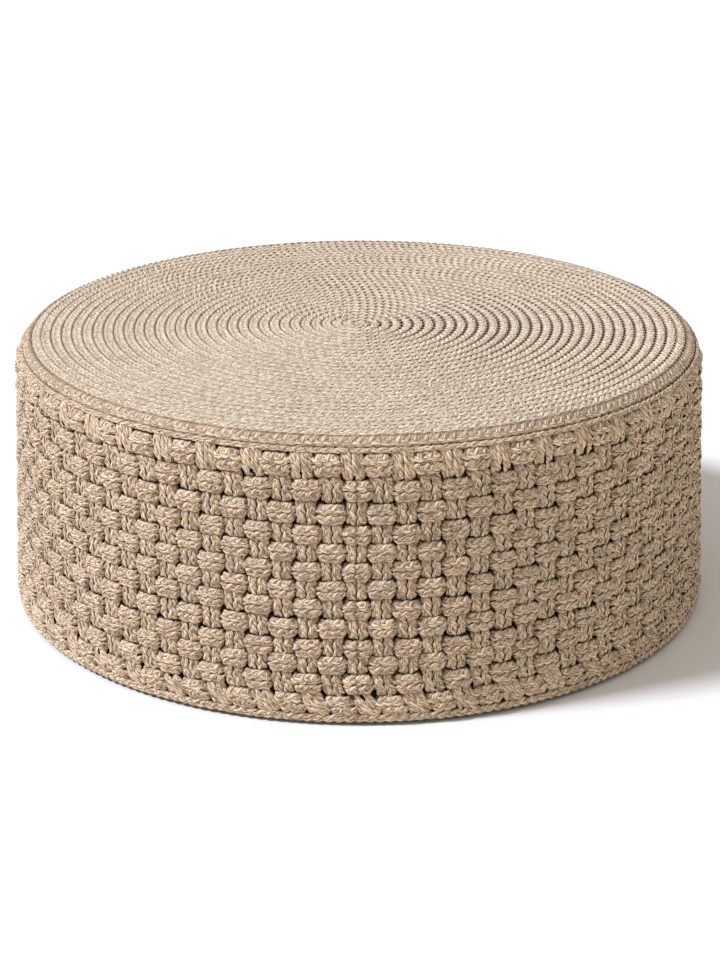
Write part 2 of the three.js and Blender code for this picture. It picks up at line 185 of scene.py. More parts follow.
# What a plait follows. Each value may be one number or one for each point: plump is its width, the next
# value the share of painted shade that its rope gets, for most paths from how far it lies behind the
# face, loose how straight its strands run, and outer which of its edges is the outer one of a pair
def makePath(place, outward, plump=1.0, paintedShade=0.0, loose=0.0, outer=0.0, closed=False):
    values = {"plump": plump, "paintedShade": paintedShade, "loose": loose, "outer": outer}
    return {"place": place, "outward": outward, "closed": closed, "values": values}


def pathMesh(name, paths):
    counts = [len(path["place"]) for path in paths]
    edges = []
    for path, first, count in zip(paths, np.cumsum([0] + counts), counts):
        chain = np.arange(first, first + count)
        links = np.stack([chain, np.roll(chain, -1)], 1)
        edges.append(links if path["closed"] else links[:-1])
    edges = np.concatenate(edges)
    points = np.concatenate([path["place"] for path in paths]) * mm
    mesh = bpy.data.meshes.new(name)
    mesh.vertices.add(len(points))
    mesh.edges.add(len(edges))
    mesh.vertices.foreach_set("co", points.astype(np.float32).ravel())
    mesh.edges.foreach_set("vertices", edges.astype(np.int32).ravel())
    outward = np.concatenate([path["outward"] for path in paths])
    layer = mesh.attributes.new("outward", "FLOAT_VECTOR", "POINT")
    layer.data.foreach_set("vector", outward.astype(np.float32).ravel())
    for key in ("plump", "paintedShade", "loose", "outer"):
        spread = [np.broadcast_to(path["values"][key], count) for path, count in zip(paths, counts)]
        layer = mesh.attributes.new(key, "FLOAT", "POINT")
        layer.data.foreach_set("value", np.concatenate(spread).astype(np.float32))
    layer = mesh.attributes.new("plait", "INT", "POINT")
    layer.data.foreach_set("value", np.repeat(np.arange(len(paths)), counts).astype(np.int32))
    mesh.update()
    return mesh


# Node trees are written as short calls: addNode(tree, kind, {input: value or socket}, setting=value)
def addNode(tree, kind, inputs=None, **settings):
    node = tree.nodes.new(kind)
    for key, value in settings.items():
        setattr(node, key, value)
    for key, value in (inputs or {}).items():
        if isinstance(value, bpy.types.NodeSocket):
            tree.links.new(value, node.inputs[key])
        else:
            node.inputs[key].default_value = value
    return node


def calc(tree, operation, first, second=0.0, third=0.0):
    node = addNode(tree, "ShaderNodeMath", {0: first, 1: second, 2: third}, operation=operation)
    return node.outputs[0]


def vectorCalc(tree, operation, first, second=None, scale=None):
    inputs = {0: first}
    if second is not None:
        inputs[1] = second
    if scale is not None:
        inputs["Scale"] = scale
    return addNode(tree, "ShaderNodeVectorMath", inputs, operation=operation).outputs[0]


def named(tree, name, kind):
    node = addNode(tree, "GeometryNodeInputNamedAttribute", {"Name": name}, data_type=kind)
    return node.outputs["Attribute"]


def stored(tree, geometry, name, value, kind):
    inputs = {"Geometry": geometry, "Name": name, "Value": value}
    node = addNode(tree, "GeometryNodeStoreNamedAttribute", inputs, data_type=kind, domain="POINT")
    return node.outputs["Geometry"]


def randomValue(tree, number, seed, most):
    inputs = {3: most, "ID": number, "Seed": seed}
    return addNode(tree, "FunctionNodeRandomValue", inputs, data_type="FLOAT").outputs[1]


# Inputs of the plait tree: label, kind of socket, and key in a plait's dictionary
plaitInputs = (
    ("Lay length", "NodeSocketFloat", "layLength"),
    ("Steps per lay", "NodeSocketInt", "stepsPerLay"),
    ("Sides", "NodeSocketInt", "sides"),
    ("Sway", "NodeSocketFloat", "sway"),
    ("Lift", "NodeSocketFloat", "lift"),
    ("Strand width", "NodeSocketFloat", "strandWidth"),
    ("Strand thickness", "NodeSocketFloat", "strandThickness"),
    ("Wobble", "NodeSocketFloat", "wobble"),
    ("Seed", "NodeSocketInt", "seed"),
)
# What all strands share
strands = {
    "count": 3,
    "looseLift": -0.7,  # change of a strand's lift where it runs loose
    "wobbleScale": 38.0,  # waves per metre of the noise by which strands stray
    "swellScale": 120.0,  # and of the noise by which they swell
    "swell": (0.16, 0.92),  # share that the noise adds, and the least thickness
    "plump": (0.7, 0.3),  # share of the thickness that follows the path's width, and the rest
}


# Divides each path into whole lays and copies it once for each strand
def splitStrands(tree, given):
    curve = addNode(tree, "GeometryNodeMeshToCurve", {"Mesh": given["Paths"]}).outputs[0]
    length = tree.nodes.new("GeometryNodeSplineLength").outputs["Length"]
    lays = calc(tree, "ROUND", calc(tree, "DIVIDE", length, given["Lay length"]))
    lays = calc(tree, "MAXIMUM", lays, 1.0)
    closed = tree.nodes.new("GeometryNodeInputSplineCyclic").outputs[0]
    spare = calc(tree, "SUBTRACT", 1.0, closed)
    count = calc(tree, "ADD", calc(tree, "MULTIPLY", lays, given["Steps per lay"]), spare)
    curve = addNode(tree, "GeometryNodeResampleCurve", {"Curve": curve, "Count": count}).outputs[0]
    inputs = {"Geometry": curve, "Amount": strands["count"]}
    copies = addNode(tree, "GeometryNodeDuplicateElements", inputs, domain="SPLINE").outputs
    return stored(tree, copies[0], "strand", copies[1], "INT")


# Swings each strand across the plait and back, over one neighbour and under the other
def swayStrands(tree, given, curve):
    strand = named(tree, "strand", "INT")
    plait = named(tree, "plait", "INT")
    loose = named(tree, "loose", "FLOAT")
    pair = calc(tree, "FLOOR", calc(tree, "MULTIPLY", plait, 0.5))
    start = randomValue(tree, pair, given["Seed"], 2 * math.pi)
    index = tree.nodes.new("GeometryNodeSplineParameter").outputs["Index"]
    turn = calc(tree, "DIVIDE", calc(tree, "MULTIPLY", index, 2 * math.pi), given["Steps per lay"])
    turn = calc(tree, "MULTIPLY_ADD", strand, 2 * math.pi / strands["count"], turn)
    turn = calc(tree, "ADD", turn, start)
    swing = calc(tree, "SINE", turn)
    apart = calc(tree, "SUBTRACT", calc(tree, "SUBTRACT", strand, 1.0), swing)
    swing = calc(tree, "MULTIPLY_ADD", apart, loose, swing)
    sway = calc(tree, "MULTIPLY", swing, given["Sway"])
    sway = calc(tree, "MULTIPLY", sway, named(tree, "plump", "FLOAT"))
    lift = calc(tree, "MULTIPLY", calc(tree, "SINE", calc(tree, "MULTIPLY", turn, 2.0)), given["Lift"])
    lift = calc(tree, "MULTIPLY", lift, calc(tree, "MULTIPLY_ADD", loose, strands["looseLift"], 1.0))

    tangent = tree.nodes.new("GeometryNodeInputTangent").outputs[0]
    outward = vectorCalc(tree, "NORMALIZE", named(tree, "outward", "FLOAT_VECTOR"))
    across = vectorCalc(tree, "NORMALIZE", vectorCalc(tree, "CROSS_PRODUCT", tangent, outward))
    aside = vectorCalc(tree, "SCALE", across, scale=sway)
    offset = vectorCalc(tree, "ADD", aside, vectorCalc(tree, "SCALE", outward, scale=lift))
    noise = addNode(tree, "ShaderNodeTexNoise", {"Scale": strands["wobbleScale"], "Detail": 1.0})
    stray = vectorCalc(tree, "SUBTRACT", noise.outputs["Color"], (0.5, 0.5, 0.5))
    offset = vectorCalc(tree, "ADD", offset, vectorCalc(tree, "SCALE", stray, scale=given["Wobble"]))

    curve = stored(tree, curve, "shift", sway, "FLOAT")
    inputs = {"Geometry": curve, "Offset": offset}
    curve = addNode(tree, "GeometryNodeSetPosition", inputs).outputs[0]
    run = tree.nodes.new("GeometryNodeSplineParameter").outputs["Length"]
    curve = stored(tree, curve, "run", run, "FLOAT")
    number = calc(tree, "MULTIPLY_ADD", plait, float(strands["count"]), strand)
    return stored(tree, curve, "tint", randomValue(tree, number, given["Seed"], 1.0), "FLOAT")


# Gives each strand its flat round section
def roundStrands(tree, given, curve):
    tangent = tree.nodes.new("GeometryNodeInputTangent").outputs[0]
    outward = vectorCalc(tree, "NORMALIZE", named(tree, "outward", "FLOAT_VECTOR"))
    upright = vectorCalc(tree, "CROSS_PRODUCT", tangent, outward)
    upright = vectorCalc(tree, "CROSS_PRODUCT", upright, tangent)
    inputs = {"Curve": curve, "Normal": upright}
    facing = addNode(tree, "GeometryNodeSetCurveNormal", inputs, mode="FREE").outputs[0]

    inputs = {"Resolution": given["Sides"], "Radius": 1.0}
    ring = addNode(tree, "GeometryNodeCurvePrimitiveCircle", inputs).outputs[0]
    place = tree.nodes.new("GeometryNodeInputPosition").outputs[0]
    ring = stored(tree, ring, "around", place, "FLOAT_VECTOR")
    halfThick = calc(tree, "MULTIPLY", given["Strand thickness"], 0.5)
    halfWide = calc(tree, "MULTIPLY", given["Strand width"], 0.5)
    halves = addNode(tree, "ShaderNodeCombineXYZ", {0: halfThick, 1: halfWide, 2: 1.0}).outputs[0]
    inputs = {"Geometry": ring, "Position": vectorCalc(tree, "MULTIPLY", place, halves)}
    section = addNode(tree, "GeometryNodeSetPosition", inputs).outputs[0]

    inputs = {"Scale": strands["swellScale"], "Detail": 0.0}
    noise = addNode(tree, "ShaderNodeTexNoise", inputs).outputs["Fac"]
    swell = calc(tree, "MULTIPLY_ADD", noise, *strands["swell"])
    plumper = calc(tree, "MULTIPLY_ADD", named(tree, "plump", "FLOAT"), *strands["plump"])
    inputs = {
        "Curve": facing,
        "Profile Curve": section,
        "Scale": calc(tree, "MULTIPLY", swell, plumper),
        "Fill Caps": True,
    }
    tube = addNode(tree, "GeometryNodeCurveToMesh", inputs).outputs[0]
    tube = addNode(tree, "GeometryNodeSetShadeSmooth", {"Geometry": tube}).outputs[0]
    tube = addNode(tree, "GeometryNodeRealizeInstances", {"Geometry": tube}).outputs[0]
    inputs = {"Geometry": tube, "Material": given["Rope"]}
    return addNode(tree, "GeometryNodeSetMaterial", inputs).outputs[0]


# Lays a flat three-strand plait along every path of a mesh of edges
def plaitTree():
    tree = bpy.data.node_groups.new("flat plait", "GeometryNodeTree")
    face = tree.interface
    face.new_socket("Paths", in_out="INPUT", socket_type="NodeSocketGeometry")
    for label, kind, key in plaitInputs:
        face.new_socket(label, in_out="INPUT", socket_type=kind)
    face.new_socket("Rope", in_out="INPUT", socket_type="NodeSocketMaterial")
    face.new_socket("Plaits", in_out="OUTPUT", socket_type="NodeSocketGeometry")
    given = tree.nodes.new("NodeGroupInput").outputs
    curve = swayStrands(tree, given, splitStrands(tree, given))
    result = tree.nodes.new("NodeGroupOutput")
    tree.links.new(roundStrands(tree, given, curve), result.inputs["Plaits"])
    return tree


flatPlait = plaitTree()


# Runs the plait tree over paths and returns a plain mesh object
def layPlaits(name, paths, sizes, material):
    source = bpy.data.objects.new(name + "_paths", pathMesh(name + "_paths", paths))
    scene.collection.objects.link(source)
    modifier = source.modifiers.new("plait", "NODES")
    modifier.node_group = flatPlait
    values = {"Rope": material}
    for label, kind, key in plaitInputs:
        values[label] = sizes[key] * mm if kind == "NodeSocketFloat" else sizes[key]
    for item in flatPlait.interface.items_tree:
        if item.in_out == "INPUT" and item.name in values:
            modifier[item.identifier] = values[item.name]
    bpy.context.view_layer.update()
    evaluated = source.evaluated_get(bpy.context.evaluated_depsgraph_get())
    mesh = bpy.data.meshes.new_from_object(evaluated)
    bpy.data.objects.remove(source)
    mesh.name = name
    piece = bpy.data.objects.new(name, mesh)
    scene.collection.objects.link(piece)
    print(name, len(mesh.polygons) * 2, "triangles")
    return piece


def finishPiece(piece, slot, *nodes):
    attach(piece, "root")
    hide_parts(*nodes)


# Materials
def newMaterial(name, roughness, metallic=0.0):
    material = bpy.data.materials.new(name)
    material.use_nodes = True
    shader = material.node_tree.nodes["Principled BSDF"]
    shader.inputs["Roughness"].default_value = roughness
    shader.inputs["Metallic"].default_value = metallic
    return material, material.node_tree, shader


# A screen colour, 0 to 255, as the linear one that a shader takes
def linear(color):
    shares = [value / 255 for value in color]
    return [s / 12.92 if s <= 0.04 else ((s + 0.055) / 1.055) ** 2.4 for s in shares] + [1.0]


def attribute(tree, name, output):
    return addNode(tree, "ShaderNodeAttribute", attribute_name=name).outputs[output]


def mixColors(tree, share, first, second):
    inputs = {0: share, 6: first, 7: second}
    return addNode(tree, "ShaderNodeMix", inputs, data_type="RGBA").outputs[2]


def ramp(tree, value, low, high, toLow=0.0, toHigh=1.0):
    inputs = {"Value": value, "From Min": low, "From Max": high, "To Min": toLow, "To Max": toHigh}
    return addNode(tree, "ShaderNodeMapRange", inputs).outputs[0]


def objectPlace(tree):
    return tree.nodes.new("ShaderNodeTexCoord").outputs["Object"]


def noiseAt(tree, place, scale, detail=2.0, roughness=0.5):
    inputs = {"Vector": place, "Scale": scale, "Detail": detail, "Roughness": roughness}
    return addNode(tree, "ShaderNodeTexNoise", inputs).outputs["Fac"]


def addBump(tree, shader, height, distance, strength):
    inputs = {"Height": height, "Distance": distance, "Strength": strength}
    bump = addNode(tree, "ShaderNodeBump", inputs)
    tree.links.new(bump.outputs[0], shader.inputs["Normal"])


# Rope of the woven side, a shaded copy of the top's: warmer, with much deeper painted shade
shadedSideRope = {
    "light": (251, 232, 206),
    "middle": (246, 214, 178),
    # dark is painted shade in the grooves between yarns; crease is painted shade where strands are
    # hidden
    "dark": (58, 36, 20),
    "creaseShade": (38, 23, 12),
    "roughness": 0.88,
    "specular": 0.2,
    "sheen": 0.12,
    "sheenRoughness": 0.5,
    "yarns": 0.75,  # yarns round a strand, over two pi
    "yarnRun": 48.0,  # yarn cells per metre along it
    "twist": 230.0,  # radians per metre by which the yarns wind round
    "apart": 60.0,  # how far apart the patterns of two strands may start
    "uneven": 0.9,  # how unlike each other the yarns are
    "yarnEdge": 0.22,  # from a yarn's edge to its full height
    "fibreScale": 3.6,  # waves per yarn cell
    "patchScale": 9.0,  # waves per metre, as the next one
    "speckScale": 620.0,
    "speckShare": 0.5,
    "shade": (0.6, 0.9),  # of fibres and specks, from the middle colour to the light one
    "line": (0.02, 0.15),  # from a yarn's edge, where its line of painted shade is full and where it ends
    "lineDepth": 0.88,
    "lineBreak": (0.66, 0.44),  # of the fibres, from where the lines are faint to full
    "lineFaint": 0.2,
    "relief": (0.8, 0.5),  # of yarns and of fibres in the bump
    "bump": 0.0013,  # metres
    "under": 0.95,  # painted shade: how dark a strand gets where it turns under its neighbour
    "underSpan": (0.38, -0.2),  # of the way out, from its middle
    "seam": (0.0054, 0.0067),  # from the middle of the plait, in metres, where painted shade darkens its edge
    "seamDepth": 0.85,
    "behindShade": 0.94,  # painted shade: how dark a plait gets behind the face
    "behindShadeSpan": (0.3, 0.8),
    "tint": (0.08, 0.96),  # how much strands differ, and the darkest one
    "patches": (0.96, 1.04),  # brightness of the darkest and the lightest patches
}
# Rope of the top, a lit copy of the side's: cooler, with lighter painted shade in dark, crease and lines
litTopRope = dict(
    shadedSideRope,
    light=(249, 233, 211),
    middle=(245, 223, 195),
    dark=(110, 76, 50),
    creaseShade=(106, 66, 36),
    lineDepth=0.62,
    under=0.5,
    seam=(0.0038, 0.0066),
    seamDepth=0.4,
)
# Rope of the rolled edge, a darker copy of the top's, as painted shade for the edge that rolls down
shadedRimRope = dict(
    litTopRope,
    light=(236, 217, 192),
    middle=(230, 204, 173),
    lineDepth=0.8,
    under=0.8,
    seamDepth=0.55,
)

# Plaits of the side
sidePlait = {
    "layLength": 32.0,
    "stepsPerLay": 11,
    "sides": 5,
    "sway": 3.9,
    "lift": 1.0,
    "strandWidth": 6.1,
    "strandThickness": 3.5,
    "wobble": 0.3,
    "seed": 3,
}


# How much painted shade a place gets: where a strand turns under its neighbour, along the edge of
# the plait, and behind the face. A plait of a pair gets it along its outer edge only, a single one
# along both
def paintedShadeShare(tree, look, around):
    under = ramp(tree, around["X"], *look["underSpan"], 0.0, look["under"])
    halfWidth = sidePlait["strandWidth"] / 2 * mm
    across = calc(tree, "MULTIPLY_ADD", around["Y"], halfWidth, attribute(tree, "shift", "Fac"))
    outer = attribute(tree, "outer", "Fac")
    single = calc(tree, "SUBTRACT", 1.0, calc(tree, "ABSOLUTE", outer))
    both = calc(tree, "MULTIPLY", calc(tree, "ABSOLUTE", across), single)
    aside = calc(tree, "MAXIMUM", calc(tree, "MULTIPLY", across, outer), both)
    seam = ramp(tree, aside, *look["seam"], 0.0, look["seamDepth"])
    behindShade = ramp(tree, attribute(tree, "paintedShade", "Fac"), *look["behindShadeSpan"], 0.0, look["behindShade"])
    return calc(tree, "MAXIMUM", calc(tree, "MAXIMUM", under, seam), behindShade)


# Yarns that wind slowly round each strand, with lines of painted shade between them
def ropeMaterial(name, look):
    material, tree, shader = newMaterial(name, look["roughness"])
    around = addNode(tree, "ShaderNodeSeparateXYZ", {0: attribute(tree, "around", "Vector")}).outputs
    run = attribute(tree, "run", "Fac")
    tint = attribute(tree, "tint", "Fac")
    angle = calc(tree, "ARCTAN2", around["Y"], around["X"])
    angle = calc(tree, "MULTIPLY_ADD", run, look["twist"], angle)
    windX = calc(tree, "MULTIPLY", calc(tree, "COSINE", angle), look["yarns"])
    windY = calc(tree, "MULTIPLY", calc(tree, "SINE", angle), look["yarns"])
    along = calc(tree, "MULTIPLY", tint, look["apart"])
    along = calc(tree, "MULTIPLY_ADD", run, look["yarnRun"], along)
    wound = addNode(tree, "ShaderNodeCombineXYZ", {0: windX, 1: windY, 2: along}).outputs[0]

    inputs = {"Vector": wound, "Scale": 1.0, "Randomness": look["uneven"]}
    cells = addNode(tree, "ShaderNodeTexVoronoi", inputs, feature="DISTANCE_TO_EDGE")
    edge = cells.outputs["Distance"]
    fibres = noiseAt(tree, wound, look["fibreScale"], 3.0, 0.65)
    patches = noiseAt(tree, objectPlace(tree), look["patchScale"])
    specks = noiseAt(tree, objectPlace(tree), look["speckScale"], 1.0)

    shade = calc(tree, "MULTIPLY_ADD", specks, look["speckShare"], fibres)
    shade = ramp(tree, shade, *look["shade"])
    color = mixColors(tree, shade, linear(look["middle"]), linear(look["light"]))
    # Painted shade: the dark colour along the yarns' edges
    line = ramp(tree, edge, *look["line"], look["lineDepth"], 0.0)
    faint = ramp(tree, fibres, *look["lineBreak"], look["lineFaint"], 1.0)
    line = calc(tree, "MULTIPLY", line, faint)
    color = mixColors(tree, line, color, linear(look["dark"]))
    # Painted shade where strands are hidden, in the crease colour
    color = mixColors(tree, paintedShadeShare(tree, look, around), color, linear(look["creaseShade"]))
    tone = calc(tree, "MULTIPLY_ADD", tint, *look["tint"])
    tone = calc(tree, "MULTIPLY", tone, ramp(tree, patches, 0.3, 0.7, *look["patches"]))
    toned = addNode(tree, "ShaderNodeHueSaturation", {"Color": color, "Value": tone})
    tree.links.new(toned.outputs[0], shader.inputs["Base Color"])
    yarnRelief, fibreRelief = look["relief"]
    height = calc(tree, "MULTIPLY", fibres, fibreRelief)
    yarn = ramp(tree, edge, 0.0, look["yarnEdge"])
    height = calc(tree, "MULTIPLY_ADD", yarn, yarnRelief, height)
    addBump(tree, shader, height, look["bump"], 1.0)
    shader.inputs["Sheen Weight"].default_value = look["sheen"]
    shader.inputs["Sheen Roughness"].default_value = look["sheenRoughness"]
    shader.inputs["Specular IOR Level"].default_value = look["specular"]
    return material


# The side's rope is the shaded copy, the top's the lit copy, the rolled edge's a darker copy of the
# top's
weaveRope = ropeMaterial("sand rope, woven side", shadedSideRope)
shadedEdgeRope = ropeMaterial("sand rope, rolled edge", shadedRimRope)
matRope = ropeMaterial("sand rope, coiled top", litTopRope)
print("materials for the rope ready")

# Weft bands, one for each row: the border rows at the top and the base are bands too
wefts = {
    "spacing": 5.8,  # from the middle of a band to each of its plaits
    "squeeze": 0.4,  # how much closer they run behind a stake
    "stepsPerColumn": 24,
    "flatness": 4.6,
    "rowPitch": 23.6,  # at which a plait has its plain width
    "tall": (0.96, 1.13),  # least and most that a row's room makes of its plain width
    "topTall": 1.2,
    "topPlump": 1.3,
    "baseSpacing": 0.92,
}


# Both plaits of one band, over the stakes at every other column
def weftPaths(row):
    isTop, isBase = row == 0, row == rowCount - 1
    places = np.arange(weave["columns"] * wefts["stepsPerColumn"]) / wefts["stepsPerColumn"]
    drift = smoothAlong(np.stack([columnDrift[row], rowDrift[row]], 1), places, closed=True)
    angle = frontAngle + places * columnAngle + drift[:, 0]
    shaped = flatWave(places - (row + 1) % 2, wefts["flatness"])
    middle = (weave["weftCrest"] + weave["weftDip"]) / 2
    swing = (weave["weftCrest"] - weave["weftDip"]) / 2
    room = rowHeights[max(row - 1, 0)] - rowHeights[min(row + 1, rowCount - 1)]
    tall = room / (1 if isTop or isBase else 2) / wefts["rowPitch"]
    tall = np.clip(tall, wefts["tall"][0], wefts["topTall"] if isTop else wefts["tall"][1])
    plump = wefts["topPlump"] if isTop else tall
    spacing = wefts["spacing"] * tall - wefts["squeeze"] * (1 - shaped) / 2
    spacing *= wefts["baseSpacing"] if isBase else 1.0
    paths = []
    for side in (-1, 1):
        height = rowHeights[row] + drift[:, 1] + side * spacing
        radius = faceRadius(height) + middle + swing * shaped
        shifted = angle + borderShift(height) / radius
        tilt = faceTilt(height) + side * math.radians(weave["pillowDegrees"])
        place, outward = radialPath(radius, shifted, height, tilt)
        # Its painted shade grows where it passes behind a stake
        paths.append(makePath(place, outward, plump, (1 - shaped) / 2, outer=-side, closed=True))
    return paths


for row, (name, node) in enumerate(zip(rowPieces, rowNodes)):
    sizes = dict(sidePlait, seed=sidePlait["seed"] + row)
    finishPiece(layPlaits(name, weftPaths(row), sizes, weaveRope), "rope_weave", node)

# Stakes: at the borders every other one is loose and broad, and leans
stakes = {
    "groups": 4,  # pieces that the stakes are joined in
    "spacing": 6.05,
    "flatness": 4.6,
    "stepsPerRow": 16,
    "topEnd": 337.5,
    "topTuck": (6.0, 5.5),  # height over which the upper end turns in, and how far
    "baseEnd": 13.5,
    "baseTuck": (5.0, 5.0),
    "late": 1.45,  # power by which a border stake dives later
    "borderFrom": 0.75,  # rows from the border at which its look starts
    "borderFade": 0.5,
    "borderLoose": 0.9,
    "borderSpread": 1.0,
    "borderPlump": 1.3,
    "spreadHeights": [15, 40, 300, 334],
    "spreads": [0.9, 0.5, 0.9, 0.1],
    "widenHeights": [240, 300],
    "topWidth": 1.08,
}
stakePlait = dict(sidePlait, layLength=36.0, sway=3.8, seed=40)


# Both plaits of one stake, from under the rim cord to behind the base cord
def stakePaths(column):
    steps, last = stakes["stepsPerRow"], rowCount - 1
    isBorder = column % 2 == 0
    places = np.arange(-steps, (last + 1) * steps + 1) / steps
    inside = np.clip(places, 0, last)
    heights = rowHeights + rowDrift[:, column]
    height = smoothAlong(heights[:, None], inside, closed=False)[:, 0]
    height += np.clip(-places, 0, None) * (stakes["topEnd"] - heights[0])
    height -= np.clip(places - last, 0, None) * (heights[-1] - stakes["baseEnd"])
    drift = smoothAlong(columnDrift[:, column : column + 1], inside, closed=False)[:, 0]

    late = np.where((inside < 1) & isBorder, inside ** stakes["late"], inside)
    fromBase = np.clip(last - inside, 0, None)
    late = np.where((inside > last - 1) & isBorder, last - fromBase ** stakes["late"], late)
    shaped = flatWave(late - column % 2, stakes["flatness"])
    border = np.maximum(stakes["borderFrom"] - places, places - last + stakes["borderFrom"])
    border = np.clip(border / stakes["borderFade"], 0, 1) * isBorder
    crest = weave["stakeCrest"] + (weave["borderCrest"] - weave["stakeCrest"]) * border
    level = (crest + weave["stakeDip"]) / 2 + (crest - weave["stakeDip"]) / 2 * shaped
    tall, far = stakes["topTuck"]
    level = level - far * np.clip((height - (stakes["topEnd"] - tall)) / tall, 0, 1) ** 2
    tall, far = stakes["baseTuck"]
    level = level - far * np.clip((stakes["baseEnd"] + tall - height) / tall, 0, 1) ** 2

    spread = border * np.interp(height, stakes["spreadHeights"], stakes["spreads"])
    wide = np.interp(height, stakes["widenHeights"], [1, stakes["topWidth"]])
    spacing = stakes["spacing"] * wide + stakes["borderSpread"] * spread
    plump = wide + (stakes["borderPlump"] - 1) * spread
    radius, tilt = faceRadius(height) + level, faceTilt(height)
    # Painted shade grows where a plait passes behind a weft
    paintedShade, loose = np.clip((1 - shaped) / 2, 0, 1), border * stakes["borderLoose"]
    paths = []
    for side in (-1, 1):
        aside = (borderShift(height) + side * spacing) / radius
        angle = frontAngle + column * columnAngle + drift + aside
        place = radialPath(radius, angle, height, tilt)[0]
        away = angle + side * math.radians(weave["pillowDegrees"])
        outward = radialPath(radius, away, height, tilt)[1]
        paths.append(makePath(place, outward, plump, paintedShade, loose, outer=-side))
    return paths


for group, columns in enumerate(np.split(np.arange(weave["columns"]), stakes["groups"])):
    paths = [path for column in columns for path in stakePaths(column)]
    sizes = dict(stakePlait, seed=stakePlait["seed"] + group)
    piece = layPlaits("stakes_%d" % (group + 1), paths, sizes, weaveRope)
    finishPiece(piece, "rope_weave", "side_stakes")

# Cords that close the two ends of the side
rimCord = {
    "layLength": 36.0,
    "stepsPerLay": 9,
    "sides": 5,
    "sway": 1.7,
    "lift": 1.2,
    "strandWidth": 4.0,
    "strandThickness": 3.2,
    "wobble": 1.0,
    "seed": 61,
}
baseCord = dict(rimCord, sway=2.7, lift=1.5, strandWidth=5.6, strandThickness=3.6, seed=67)
cords = {
    "points": 720,
    "rimDegrees": 33.5,  # up the round of the rim
    "rimInset": 2.6,
    # painted shade given to the rim cord's rope
    "rimCordShade": 0.27,
    "baseInset": 3.4,
}


# A ring round the drum, with the share of painted shade that its rope gets
def ringPath(radius, height, tilt, paintedShade=0.0):
    angle = np.arange(cords["points"]) * 2 * math.pi / cords["points"]
    radius, height, tilt = (np.full(cords["points"], value) for value in (radius, height, tilt))
    place, outward = radialPath(radius, angle, height, tilt)
    return makePath(place, outward, paintedShade=paintedShade, closed=True)


rimTilt = math.radians(cords["rimDegrees"])
rimReach = rim["radius"] - cords["rimInset"]
rimPath = ringPath(
    rimMiddle + rimReach * math.cos(rimTilt),
    rimHeight + rimReach * math.sin(rimTilt),
    rimTilt,
    cords["rimCordShade"],
)
# The rim cord takes the side's rope, the shaded copy with deep painted shade
finishPiece(layPlaits("rim_cord_plait", [rimPath], rimCord, weaveRope), "rope_mat", "rim_cord")
baseRadius = boxOf("base_cord")[1][0] - cords["baseInset"]
basePath = ringPath(baseRadius, middleHeight("base_cord"), 0.0)
finishPiece(layPlaits("base_cord_plait", [basePath], baseCord, weaveRope), "rope_weave", "base_cord")

# Coil of the top: one plait, level for most of each turn, with a jog to the next turn at the back
coil = {
    "firstWidth": 17.2,  # of the outermost turn
    "pitch": 13.28,
    "jogShare": 0.2,  # of a turn
    "stepsPerTurn": 150,
    "pieceEnds": [0.0, 0.061, 0.54, 1.0],  # shares of the whole length
    "halfThickness": 3.7,
    "innerRadius": 0.8,
    "evenTurns": (17.0, 15.0),  # from the middle, where jogs start to fade, and over how many turns
    "narrowTurns": (0.8, 0.4),  # where the first width starts to narrow, and over how many turns
    "tailRun": 0.8,  # share of its place and of its width that the outer end loses
    "tailPlump": 0.75,
    "leanDegrees": 1.5,  # how far each turn leans out
    "edgeLean": 9.0,  # how much further the outermost turn leans out
    "edgeShade": 0.3,  # painted shade of the outermost turn, which rolls down to the side
    "edgeTurns": (1.4, 0.4),  # where both end, and over how many turns they fade
}
coilPlait = dict(
    sidePlait,
    stepsPerLay=9,
    sway=4.1,
    lift=1.2,
    strandThickness=3.9,
    wobble=0.6,
    seed=71,
)
edgePlait = dict(coilPlait, stepsPerLay=14, sides=6)
rimFoot = math.radians(rim["footDegrees"])
rimArc = rim["radius"] * (math.pi / 2 - rimFoot)


# Middle of the plait at a run from the foot of the mat, and how far it faces up
def coilPlace(run):
    tilt = np.minimum(rimFoot + run / rim["radius"], math.pi / 2)
    past = np.maximum(run - rimArc, 0)
    reach = rim["radius"] - coil["halfThickness"]
    return rimMiddle + reach * np.cos(tilt) - past, rimHeight + reach * np.sin(tilt), tilt


# Run from the foot of the mat to the middle of a turn, counted from the outermost one
def turnRun(number):
    first = coil["firstWidth"] / 2
    second = coil["firstWidth"] + coil["pitch"] / 2
    outermost = first + (second - first) * np.clip(number, -1, 1)
    return np.where(number < 1, outermost, second + coil["pitch"] * (number - 1))


